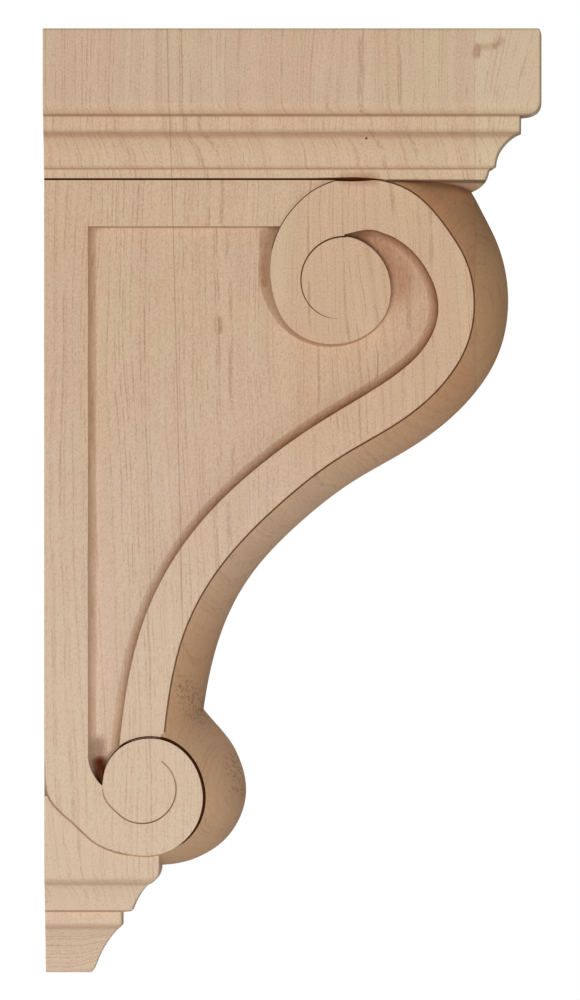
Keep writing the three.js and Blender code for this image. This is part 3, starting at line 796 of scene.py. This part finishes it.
# %% Burns and painted shade
# Burn and painted shade: the hollow beside the upper eye and the strip left of the upper volute, where shade
# falls
SCROLL_HOLLOW = [
    # from x, z to x, z, reach, softness, strength
    (113.0, 98.0, 118.0, 97.5, 3.0, 12.0, 1.0), (120.0, 96.0, 128.0, 84.0, 4.0, 14.0, 0.75),
    (82.6, 100.5, 82.8, 82.0, 1.0, 1.6, 0.8),
]
# Burn and painted shade in the narrow pocket beside the stile and at the end of the crevice under the crown
POCKET = [(20.8, -98.0, 21.9, -105.5, 0.5, 4.2, 1.0), (20.0, -91.0, 20.8, -98.0, 0.2, 4.5, 0.42)]
CREVICE_END = [(113.0, 121.4, 124.0, 121.4, 0.2, 3.6, 0.8)]
TORN = [(53.0, -70.0, 58.0, -80.0, 2.0, 5.0, 1.0), (71.0, -98.0, 73.0, -108.0, 1.0, 5.0, 1.0)]

rubbed_and_shaded = add("Attribute", {"attribute_name": "burn_and_shade"}, out="Fac")
sunk = add("MapRange", EASED, (depth_under, PROUD_FACE - 1.2, FLOOR + 0.6))
below_face = add("MapRange", EASED, (depth_under, FACE - 0.3, FACE - 1.2))
hollow_burn_and_shade = add("Math", TIMES, (sunk, strongest(SCROLL_HOLLOW)))
pocket_burn_and_shade = add("Math", TIMES, (below_face, strongest(POCKET)))
burnt_and_shaded = add("Math", TIMES, (rubbed_and_shaded, 0.9))
for other in (hollow_burn_and_shade, pocket_burn_and_shade, strongest(CREVICE_END)):
    burnt_and_shaded = add("Math", MOST, (burnt_and_shaded, other))
wide_patches = add("MapRange", {}, (noise(8, 8, 14, 3.0, 2.2), 0.3, 0.7, 0.7, 1.1))
small_patches = add("MapRange", {}, (noise(1.2, 1.2, 2.6, 3.0, 14.0), 0.3, 0.7, 0.7, 1.2))
burnt_and_shaded = add("Math", CAPPED_TIMES, (add("Math", TIMES, (burnt_and_shaded, wide_patches)), small_patches))
# Painted shade: corners within 6 mm of another face are darkened
corner_shade = add("AmbientOcclusion", {"samples": 8, "only_local": True}, {"Distance": 0.006}, "AO")
# Burn and painted shade on walls, grooves and hollows, darkest in the pocket, the disc line and the crevice;
# then painted shade in corners
wood = lay(wood, [
    (burnt_and_shaded, 0.85, "#A0663F"),
    (pocket_burn_and_shade, 0.95, "#531B06"),
    (add("MapRange", EASED, (rubbed_and_shaded, 1.05, 1.6)), 0.9, "#4C240E"),
    (add("MapRange", EASED, (corner_shade, 0.62, 0.25)), 0.55, "#6B3F28"),
])
print("nodes so far", len(tree.nodes))

# %% [markdown]
# The swelled front is cut across the fibres, which makes it browner, and its tint is also painted shade,
# full on the nose's upper side and weaker at the waist; in two places the cutter tore tufts out of it. The
# bare wood has the IOR of wood fibre, about 1.5, and a dull sheen that is duller still where it is burnt,
# and the fibres stand up by about a tenth of a millimetre.

# %% Front, sheen and fibres
FRONT_TINT = (0.79, 0.63, 0.49, 1.0)
WOOD_IOR, SHEEN, FIBRE_HEIGHT = 1.5, 0.35, 0.00012

# The browner front: partly the end grain's colour and partly painted shade
wood = add("Mix", TINT, {0: swelled, 6: wood, 7: FRONT_TINT}, 2)
on_front = add("MapRange", EASED, (swelled, 0.05, 0.2))
tufts = add("MapRange", EASED, (noise(0.8, 1.8, 1.0, 2.0, 11.0), 0.50, 0.62))
wood = lay(wood, [(tufts, on_front, near_side, strongest(TORN), 0.5, "#6E482A")])

dulled = add("Math", MOST, (pocket_burn_and_shade, add("MapRange", EASED, (rubbed_and_shaded, 0.9, 1.5))))
fibres = add("Math", TIMES, (noise(0.6, 0.6, 4.0, 2.0, 4.0), 0.6))
relief = add("Math", TIMES_PLUS, (year_line, -0.5, fibres))
surface.inputs["IOR"].default_value = WOOD_IOR
for socket, value in {
    "Base Color": wood,
    "Specular IOR Level": add("Math", TIMES_PLUS, (dulled, -SHEEN, SHEEN)),
    "Roughness": add("MapRange", {}, (fine, 0.3, 0.8, 0.62, 0.72)),
    "Normal": add("Bump", {}, {"Strength": 0.25, "Distance": FIBRE_HEIGHT, "Height": relief}),
}.items():
    tree.links.new(value, surface.inputs[socket])
corbel.data.materials.clear()
corbel.data.materials.append(maple)
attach(corbel, "root")
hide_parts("corbel")
print("nodes in all", len(tree.nodes))

# %% [markdown]
# A product photograph: a pale floor some way below, one soft light near the camera and a little under it,
# a weak one low at the front, and two behind, of which one is high up, so that the top and the back can be
# seen too. Large square lights give the soft edges that a studio's boxes give.

# %% Floor and lights
floor_mesh = bpy.data.meshes.new("pale floor")
floor_corners = [(-1.4, -1.2, -0.7), (1.6, -1.2, -0.7), (1.6, 1.8, -0.7), (-1.4, 1.8, -0.7)]
floor_mesh.from_pydata(floor_corners, [], [(0, 1, 2, 3)])
floor = bpy.data.objects.new("pale_floor", floor_mesh)
bpy.context.scene.collection.objects.link(floor)
pale = bpy.data.materials.new("pale paint")
pale.use_nodes = True
pale.node_tree.nodes["Principled BSDF"].inputs["Base Color"].default_value = colour("#D8D5D0")
pale.node_tree.nodes["Principled BSDF"].inputs["Roughness"].default_value = 0.9
floor_mesh.materials.append(pale)


def soft_light(name, size, power, at, toward):
    """A square area light at a place, turned toward another."""
    lamp = bpy.data.lights.new(name, "AREA")
    lamp.shape, lamp.size, lamp.energy = "SQUARE", size, power
    made = bpy.data.objects.new(name, lamp)
    made.location = at
    made.rotation_euler = (Vector(toward) - Vector(at)).to_track_quat("-Z", "Y").to_euler()
    made.visible_camera = False
    bpy.context.scene.collection.objects.link(made)


soft_light("front light", 0.9, 38.4, (-0.15, -2.6, -0.25), (0.09, 0.0, 0.0))
soft_light("low light", 0.8, 6.2, (1.7, -1.0, -0.6), (0.09, 0.0, 0.0))
soft_light("back light", 0.8, 34.0, (-1.3, 2.2, 0.5), (0.09, 0.0, 0.3))
soft_light("top light", 0.8, 22.0, (0.5, 1.2, 1.9), (0.09, 0.0, 0.1))

# %% [markdown]
# White paper stands all round, which the camera sees at full white but which throws little light, so the
# lights alone shape the carving. The lens is a long one some metres off, so the side is seen nearly square
# and without much perspective.

# %% White paper and camera
PAPER_WHITE, PAPER_THROWN = 1.0, 0.18
world = bpy.data.worlds.new("studio")
bpy.context.scene.world = world
world.use_nodes = True
sky = world.node_tree
paper, dim = sky.nodes["Background"], sky.nodes.new("ShaderNodeBackground")
paper.inputs["Color"].default_value = (1.0, 1.0, 1.0, 1)
paper.inputs["Strength"].default_value = PAPER_WHITE
dim.inputs["Color"].default_value = (1.0, 0.96, 0.9, 1)
dim.inputs["Strength"].default_value = PAPER_THROWN
mixed, seen = sky.nodes.new("ShaderNodeMixShader"), sky.nodes.new("ShaderNodeLightPath")
sky.links.new(seen.outputs["Is Camera Ray"], mixed.inputs[0])
sky.links.new(dim.outputs[0], mixed.inputs[1])
sky.links.new(paper.outputs[0], mixed.inputs[2])
sky.links.new(mixed.outputs[0], sky.nodes["World Output"].inputs["Surface"])

EYE, AIM, FRAME_HEIGHT = Vector((0.2273, -9.535, 0.04)), Vector((0.0924, -0.035, 0.0006)), 0.3757
lens = bpy.data.cameras.new("camera")
lens.sensor_width = 36.0
lens.lens = lens.sensor_width * (AIM - EYE).length / FRAME_HEIGHT
lens.clip_start, lens.clip_end = 0.1, 30.0
camera = bpy.data.objects.new("camera", lens)
camera.location = EYE
camera.rotation_mode = "QUATERNION"
camera.rotation_quaternion = (AIM - EYE).to_track_quat("-Z", "Y")
bpy.context.scene.collection.objects.link(camera)
bpy.context.scene.camera = camera
bpy.context.scene.view_settings.view_transform = "Standard"
print("lens", round(lens.lens, 1), "mm")
